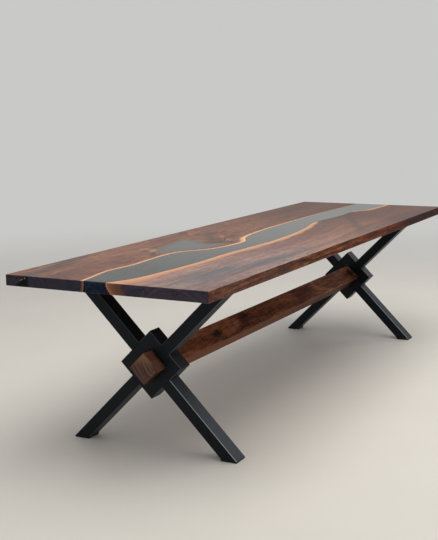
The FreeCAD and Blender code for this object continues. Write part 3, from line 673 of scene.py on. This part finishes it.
def part_round_beam_knots(graph):
    """The offset and height in the grain, pushed aside by the knots, and how dark the knots are."""
    across, depth = graph.y, graph.z
    from_middle = graph.offset(graph.place, (0.0, 0.0, BEAM_HEIGHT))
    torn = graph.noise(graph.place, (16, 70, 70), detail=5.0, roughness=0.7)
    wisps = graph.between(torn, 0.1, 1.7)
    rough = graph.noise(graph.place, (60, 160, 160), detail=3.0, roughness=0.7)
    ragged = graph.between(rough, 0.3, 1.6)
    cores = []
    for centre, reach, strength in BEAM_KNOTS:
        mask, shares = graph.near(from_middle, centre, tuple(KNOT_REACHES * value for value in reach))
        pushes = graph.split(shares)
        across = graph.add(across, graph.times(pushes[1], mask, KNOT_PUSH))
        depth = graph.add(depth, graph.times(pushes[2], mask, KNOT_PUSH))
        cores.append(graph.times(graph.ease(graph.times(mask, ragged), 0.5, 0.72), strength))
        halo_centre = tuple(value + shift for value, shift in zip(centre, HALO_SHIFT))
        halo = graph.near(from_middle, halo_centre, tuple(HALO_REACHES * value for value in reach))[0]
        cores.append(graph.times(graph.ease(graph.times(halo, wisps), 0.2, 0.9), 0.5 * strength))
    return across, depth, graph.strongest(cores)


def paint_facet_light_and_shade(graph, colour):
    """The beam's colour with painted light and painted shade on its facets along its length."""
    below = graph.ease(graph.z, BEAM_HEIGHT + 0.002, BEAM_HEIGHT - 0.002)
    # Painted light on the lower facets to the left, painted shade on them to the right, and a warm tint for
    # their light
    facet_light = graph.times(below, graph.ease_along(*FACET_LIGHT_PLACES))
    colour = graph.mix(graph.times(facet_light, 0.5), colour, FACET_LIGHT)
    colour = graph.tint(graph.times(below, graph.ease_along(*FACET_SHADE_PLACES)), colour, FACET_SHADE)
    colour = graph.tint(below, colour, LOWER_FACET_LIGHT_TINT)
    # Painted light on the stub's upper facets and painted shade on its lower ones
    stub = graph.ease_along(*STUB_PLACES)
    colour = graph.mix(graph.times(stub, graph.minus(1.0, below), 0.6), colour, STUB_LIGHT)
    colour = graph.tint(graph.times(stub, below), colour, STUB_SHADE)
    return graph.tint(graph.ease_along(*SEAM_PLACES), colour, SEAM_TINT)


def saw_beam_end(graph):
    """The colour of the beam's sawn ends, with arcs of growth rings and painted light towards the top."""
    radius = graph.length(graph.offset(graph.join(graph.y, graph.z, 0.0), (*SAWN_PITH, 0.0)))
    bent = graph.noise(graph.place, (0, 9, 9), (0, 7, 0))
    rings = graph.noise_along(graph.add(graph.times(radius, 60.0), graph.times(bent, 3.0)), 3.0, 0.55)
    upper = graph.ease(graph.z, BEAM_HEIGHT + 0.01, BEAM_HEIGHT + 0.06)
    return graph.mix(graph.times(upper, 0.8), graph.ramp(rings, SAWN_BEAM), SAWN_END_LIGHT)


def walnut_beam():
    """The beam: rustic walnut with dark knots, its grain along its length."""
    graph = Graph("walnut_beam")
    end = graph.facing(0)
    across, depth, cores = part_round_beam_knots(graph)
    tone, fibres, pores = add_grain(graph, across, depth, BEAM_PITH, SEEDS["beam"], BEAM_GRAIN)[:3]
    colour = graph.ramp(graph.contrast(tone, BEAM_CONTRAST), HEARTWOOD["beam"])
    blotch = graph.noise(graph.place, (5, 24, 24), (4, 0, 0), detail=4.0, roughness=0.65)
    colour = graph.mix(graph.times(graph.ease(blotch, 0.5, 0.68), 0.24), colour, BEAM_BLOTCH)
    colour = graph.mix(end, paint_facet_light_and_shade(graph, colour), saw_beam_end(graph))
    colour = graph.mix(cores, colour, NEAR_BLACK)
    return finish_wood(graph, colour, tone, fibres, pores, end, BEAM_ROUGHNESS, BEAM_SHINE)


# Resin

# The colours of each fill, from dark to light, and those of the marbled sawn ends
DEEP_RESIN = (paint(9, 9, 10), paint(14, 15, 16), paint(24, 26, 26))
SHALLOW_RESIN = (paint(32, 32, 31), paint(43, 43, 41), paint(54, 54, 52))
SMOKED_RESIN = (paint(66, 62, 57), paint(80, 76, 70), paint(94, 89, 83))
BODY_STOPS = (0.3, 0.6, 0.8)
BLUE_END = (paint(10, 17, 31), paint(16, 27, 45), paint(32, 55, 74), paint(14, 25, 42))
BLACK_END = (paint(8, 9, 13), paint(12, 13, 18), paint(24, 25, 30), paint(10, 11, 15))
END_STOPS = (0.32, 0.5, 0.6, 0.7)
# The sawn ends turn to their third colour between these depths below the top
EDGE_DEPTHS = (0.011, 0.002)
# Bark flecks on the crack's sawn end: offset and height, reach, and turn in degrees
CRACK_FLECKS = [((0.388, TOP - 0.021), (0.032, 0.0035), -23), ((0.36, TOP - 0.009), (0.004, 0.004), 0)]
BARK = paint(150, 122, 106)
# How well the resin shines on its faces, by place, and on its ends
RESIN_SHINE = [
    (0, 0.09), (0.06, 0.14), (0.3, 0.12), (0.6, 0.17), (0.8, 0.2), (1.0, 0.24), (1.4, 0.29), (2.3, 0.32),
    (2.6, 0.22), (3.05, 0.16),
]
RESIN_END_SHINE = 0.1


def add_flecks(graph, colour, flecks, end):
    """The resin's colour with flecks of bark on its sawn end."""
    on_end = graph.join(graph.y, graph.z, 0.0)
    ragged = graph.noise(graph.place, (0, 160, 160), detail=3.0, roughness=0.7)
    for spot, reach, turn in flecks:
        mask = graph.near(on_end, (*spot, 0.0), (*reach, 1.0), math.radians(turn))[0]
        bark = graph.times(graph.ease(graph.add(mask, graph.sway(ragged, 0.5)), 0.55, 0.75), end)
        colour = graph.mix(bark, colour, BARK)
    return colour


def black_resin(name, body_colours, end_colours, roughness, flecks=(), has_rim=False):
    """Black resin with a faint drift and its own sawn ends. The crack has flecks, the pool a smoky rim."""
    graph = Graph(name)
    end = graph.facing(0)
    swirl = graph.noise(graph.place, (5, 16, 30), detail=5.0, roughness=0.62, distortion=1.4)
    body = graph.ramp(swirl, list(zip(BODY_STOPS, body_colours)))
    marble = graph.noise(graph.place, (0, 42, 60), (0, 3, 0), detail=5.0, roughness=0.65, distortion=2.0)
    cast = graph.ramp(marble, list(zip(END_STOPS, end_colours)))
    upper_edge = graph.ease(graph.z, *(TOP - depth for depth in EDGE_DEPTHS))
    cast = graph.mix(graph.times(upper_edge, 0.6), cast, end_colours[2])
    colour = graph.mix(end, body, cast)
    if flecks:
        colour = add_flecks(graph, colour, flecks, end)
    haze = graph.noise(graph.place, (9, 70, 40), detail=4.0, roughness=0.65)
    varied = graph.between(haze, roughness - 0.035, roughness + 0.035)
    shine = graph.times(graph.along_table(RESIN_SHINE), graph.between(haze, 0.4, 1.6))
    if has_rim:
        rim = pool_haze(graph)
        colour = graph.mix(rim, colour, POOL_RIM)
        varied = graph.blend(rim, varied, SLAB_ROUGHNESS)
        shine = graph.blend(rim, shine, SLAB_SHINE["back"])
    graph.bump(graph.noise(graph.place, (420, 420, 420)), 0.0001, 0.15)
    return graph.finish(Base_Color=colour, Roughness=varied,
                        Specular_IOR_Level=graph.blend(end, shine, RESIN_END_SHINE))


# Metal and rubber

# The coat from dark to light, painted highlights on its corners and lower legs' upper corners, and painted
# sheen
STEEL_COAT = [(0.3, paint(4, 6, 10)), (0.55, paint(8, 11, 17)), (0.75, paint(15, 19, 27))]
CORNER_HIGHLIGHT, LOW_CORNER_HIGHLIGHT, PAINTED_SHEEN = paint(66, 70, 78), paint(158, 162, 172), paint(40, 44, 51)
COAT_TINT = (0.8, 0.92, 1.0, 1.0)
# How well the coat shines, also under the painted sheen, and its corners
COAT_SHINE, SHEEN_SHINE, CORNER_SHINE = 0.22, 0.34, 0.7
# The brighter painted highlight and the painted sheen set in from the first height down to the second. From
# one X to another the painted sheen thins out, so the right-hand trestle has only this share of it.
LOW_HIGHLIGHT_HEIGHTS, SHEEN_HEIGHTS = (0.34, 0.3), (0.44, 0.36)
SHEEN_STRETCH, RIGHT_SHEEN = (-0.8, 0.8), 0.1
# Half the width of a leg's tube, seen along the table
HALF_TUBE = 0.0255


def coated_steel(name, tilt, hub=False):
    """Black powder-coated steel, faint streaks along a tube tilted about X, painted corner highlights and
    sheen.
    """
    graph = Graph(name)
    straight = graph.stretch(graph.place, turn=(math.radians(tilt), 0, 0))
    streaks = graph.noise(straight, (420, 420, 5), detail=3.0, roughness=0.6)
    peel = graph.noise(graph.place, (850, 850, 850))
    cloud = graph.noise(graph.place, (9, 9, 9), detail=3.0, roughness=0.6)
    value = graph.add(graph.times(streaks, 0.5), graph.times(cloud, 0.5))
    colour = graph.ramp(value, STEEL_COAT)
    graph.bump(graph.add(peel, graph.times(streaks, 0.5)), 0.0002, 0.3)
    # The rounded corners of the tubes get a painted highlight
    corner = graph.minus(graph.facing(0, (0.15, 0.35)), graph.facing(0, (0.93, 0.99)))
    highlight = CORNER_HIGHLIGHT
    if hub:
        # The welds between the hub and the legs are ground flush, so the hub's corners get no painted
        # highlight beside the legs
        rise = graph.minus(graph.z, HUB_HEIGHT)
        for combine in (graph.add, graph.minus):
            off_arm = graph.times(graph.compute("ABSOLUTE", combine(graph.y, rise)), math.sqrt(0.5))
            corner = graph.times(corner, graph.ease(off_arm, HALF_TUBE, HALF_TUBE + 0.002))
    else:
        # The upper corners of the lower legs get a brighter painted highlight
        low_highlight = graph.times(graph.looking_up((0.1, 0.4)), graph.ease(graph.z, *LOW_HIGHLIGHT_HEIGHTS))
        highlight = graph.mix(low_highlight, CORNER_HIGHLIGHT, LOW_CORNER_HIGHLIGHT)
    # A lighter, bluer painted sheen on low faces that look up, thinning out towards the right-hand trestle
    along = graph.between(graph.ease(graph.x, *SHEEN_STRETCH), 1.0, RIGHT_SHEEN)
    painted_sheen = graph.times(graph.looking_up(), graph.ease(graph.z, *SHEEN_HEIGHTS), along)
    colour = graph.mix(graph.times(painted_sheen, 0.5), colour, PAINTED_SHEEN)
    colour = graph.mix(corner, colour, highlight)
    shine = graph.blend(corner, graph.blend(painted_sheen, COAT_SHINE, SHEEN_SHINE), CORNER_SHINE)
    return graph.finish(Base_Color=colour, Roughness=graph.between(value, 0.38, 0.5),
                        Specular_IOR_Level=shine, Specular_Tint=COAT_TINT)


def bare_metal(name, dark, light, tool_marks):
    """Plated or turned metal with fine tool marks, given as waves per metre along each axis."""
    graph = Graph(name)
    marks = graph.noise(graph.place, tool_marks, detail=3.0, roughness=0.6)
    cloud = graph.noise(graph.place, (160, 160, 160), detail=3.0, roughness=0.6)
    graph.bump(marks, 0.0001, 0.25)
    return graph.finish(Base_Color=graph.mix(cloud, dark, light), Metallic=1.0,
                        Roughness=graph.between(marks, 0.24, 0.46))


def black_rubber():
    """The moulded foot pads."""
    graph = Graph("foot_rubber")
    grain = graph.noise(graph.place, (700, 700, 700), detail=3.0, roughness=0.6)
    colour = graph.mix(grain, paint(22, 22, 23), paint(40, 39, 38))
    graph.bump(grain, 0.0003, 0.4)
    return graph.finish(Base_Color=colour, Roughness=graph.between(grain, 0.7, 0.9), Specular_IOR_Level=0.3)


# The solids in their materials

# The angle of each leg about X from upright, in degrees, and that of level pieces. The side of the hub that
# a leg meets runs square to it.
TILTS = {"upper_back": 45, "lower_front": 45, "upper_front": -45, "lower_back": -45}
LEVEL = 90


def dress(material, *names):
    """Gives solids their material."""
    for name in names:
        mesh = nodes[name].data
        mesh.materials.clear()
        mesh.materials.append(material)


for slab in ("front", "back"):
    dress(walnut_slab(slab), f"{slab}_slab")
dress(walnut_beam(), "stretcher_beam")
dress(black_resin("river_black", DEEP_RESIN, BLUE_END, 0.12), "river_resin")
dress(black_resin("pool_black", SHALLOW_RESIN, BLACK_END, 0.18, has_rim=True), "pool_fill")
dress(black_resin("crack_black", SMOKED_RESIN, BLACK_END, 0.38, CRACK_FLECKS), "crack_fill")
steel = {tilt: coated_steel(f"black_steel_{name}", tilt)
         for tilt, name in ((45, "rising"), (-45, "falling"), (LEVEL, "level"))}
hub_steel = {tilt: coated_steel(f"black_steel_hub_{name}", tilt, hub=True)
             for tilt, name in ((45, "rising"), (-45, "falling"))}
zinc = bare_metal("zinc_plate", paint(150, 152, 156), paint(196, 198, 202), (900, 900, 60))
brass = bare_metal("turned_brass", paint(176, 138, 70), paint(214, 178, 104), (60, 60, 1400))
rubber = black_rubber()
for end in ("left", "right"):
    for arm, tilt in TILTS.items():
        dress(steel[tilt], f"{end}_leg_{arm}")
        dress(hub_steel[-tilt], f"{end}_hub_{arm}")
    for side in ("front", "back"):
        dress(steel[LEVEL], f"{end}_foot_plate_{side}")
        dress(rubber, f"{end}_foot_pad_{side}")
    dress(steel[LEVEL], f"{end}_top_plate", f"{end}_channel")
    for kind in ("plate", "channel"):
        dress(zinc, f"{end}_{kind}_bolts", f"{end}_{kind}_washers")
        dress(brass, f"{end}_{kind}_inserts")
    dress(zinc, f"{end}_beam_screws")


# The studio

BACKGROUND = paint(201, 201, 199)
# The surround that lights the table, and its strength
SURROUND, SURROUND_STRENGTH = (0.95, 0.97, 1.0, 1.0), 0.46
FLOOR_RADIUS, FLOOR_CORNERS = 40.0, 64
FLOOR_COLOURS = (paint(219, 213, 203), paint(229, 224, 214))
# The floor fades into the backdrop between these distances from the table's middle
FLOOR_FADE = (2.4, 7.0)


def add_world():
    """A pale backdrop to be seen and mirrored, and a softer surround to light the table."""
    world = bpy.data.worlds.new("studio")
    bpy.context.scene.world = world
    world.use_nodes = True
    tree = world.node_tree
    tree.nodes.clear()
    fill = tree.nodes.new("ShaderNodeBackground")
    fill.inputs["Color"].default_value = SURROUND
    fill.inputs["Strength"].default_value = SURROUND_STRENGTH
    shown = tree.nodes.new("ShaderNodeBackground")
    shown.inputs["Color"].default_value = BACKGROUND
    rays = tree.nodes.new("ShaderNodeLightPath")
    either = tree.nodes.new("ShaderNodeMath")
    either.operation = "MAXIMUM"
    tree.links.new(rays.outputs["Is Camera Ray"], either.inputs[0])
    tree.links.new(rays.outputs["Is Glossy Ray"], either.inputs[1])
    choice = tree.nodes.new("ShaderNodeMixShader")
    tree.links.new(either.outputs[0], choice.inputs[0])
    tree.links.new(fill.outputs[0], choice.inputs[1])
    tree.links.new(shown.outputs[0], choice.inputs[2])
    output = tree.nodes.new("ShaderNodeOutputWorld")
    tree.links.new(choice.outputs[0], output.inputs["Surface"])


def add_floor():
    """A plain pale floor that fades into the backdrop where the camera sees it."""
    mesh = bpy.data.meshes.new("floor")
    turns = np.linspace(0, 2 * math.pi, FLOOR_CORNERS, endpoint=False)
    rim = [(FLOOR_RADIUS * math.cos(turn), FLOOR_RADIUS * math.sin(turn), 0.0) for turn in turns]
    mesh.from_pydata(rim, [], [tuple(range(len(rim)))])
    floor = bpy.data.objects.new("floor", mesh)
    bpy.context.scene.collection.objects.link(floor)
    graph = Graph("pale_floor")
    mottle = graph.noise(graph.place, (1.4, 1.4, 1.4), detail=5.0, roughness=0.6)
    graph.finish(Base_Color=graph.mix(mottle, *FLOOR_COLOURS), Roughness=0.5, Specular_IOR_Level=0.2)
    far = graph.ease(graph.length(graph.place), *FLOOR_FADE)
    seen = graph.tree.nodes.new("ShaderNodeLightPath").outputs["Is Camera Ray"]
    glow = graph.node("ShaderNodeEmission", {"Color": BACKGROUND, "Strength": 1.0}).outputs[0]
    fading = {0: graph.times(far, seen), 1: graph.shader.outputs[0], 2: glow}
    graph.put(graph.surface, graph.node("ShaderNodeMixShader", fading).outputs[0])
    mesh.materials.append(graph.material)


def add_lamp(name, place, target, size, power, colour):
    """A soft rectangular lamp that faces a target."""
    lamp = bpy.data.lights.new(name, "AREA")
    lamp.shape = "RECTANGLE"
    lamp.size, lamp.size_y = size
    lamp.energy = power
    lamp.color = colour
    holder = bpy.data.objects.new(name, lamp)
    bpy.context.scene.collection.objects.link(holder)
    holder.location = place
    holder.rotation_euler = (Vector(target) - Vector(place)).to_track_quat("-Z", "Y").to_euler()
    holder.visible_camera = False


# The camera, solved from the photograph's corners: angles are in degrees
CAMERA_PLACE = Vector((-4.6214, -2.1144, 1.4318))
CAMERA_YAW, CAMERA_PITCH, CAMERA_ROLL = 27.565, 9.555, -0.772
FOCAL_PIXELS, PHOTO_HEIGHT = 1009.2, 540
SENSOR_MILLIMETRES = 36.0


def add_camera():
    """The camera at the photograph's angle."""
    yaw, pitch, roll = (math.radians(angle) for angle in (CAMERA_YAW, CAMERA_PITCH, CAMERA_ROLL))
    forward = Vector((math.cos(yaw) * math.cos(pitch), math.sin(yaw) * math.cos(pitch), -math.sin(pitch)))
    level_right = Vector((math.sin(yaw), -math.cos(yaw), 0.0))
    level_up = level_right.cross(forward)
    right = math.cos(roll) * level_right + math.sin(roll) * level_up
    up = math.cos(roll) * level_up - math.sin(roll) * level_right
    camera = bpy.data.cameras.new("camera")
    camera.sensor_width = SENSOR_MILLIMETRES
    camera.lens = FOCAL_PIXELS * SENSOR_MILLIMETRES / PHOTO_HEIGHT
    holder = bpy.data.objects.new("camera", camera)
    bpy.context.scene.collection.objects.link(holder)
    matrix = Matrix((right, up, -forward)).transposed().to_4x4()
    matrix.translation = CAMERA_PLACE
    holder.matrix_world = matrix
    bpy.context.scene.camera = holder


add_world()
add_floor()
add_lamp("overhead", (-0.2, -0.6, 3.6), (-0.1, 0.0, 0.7), (5.5, 3.0), 112, (1.0, 0.985, 0.96))
add_lamp("right", (-0.8, -5.0, 2.2), (0.0, 0.0, 0.6), (5.0, 2.4), 28, (1.0, 0.97, 0.93))
add_lamp("window", (5.6, -1.6, 3.3), (-0.5, 0.0, 0.4), (2.2, 1.6), 24, (0.88, 0.94, 1.0))
add_camera()
bpy.context.scene.view_settings.view_transform = "Standard"
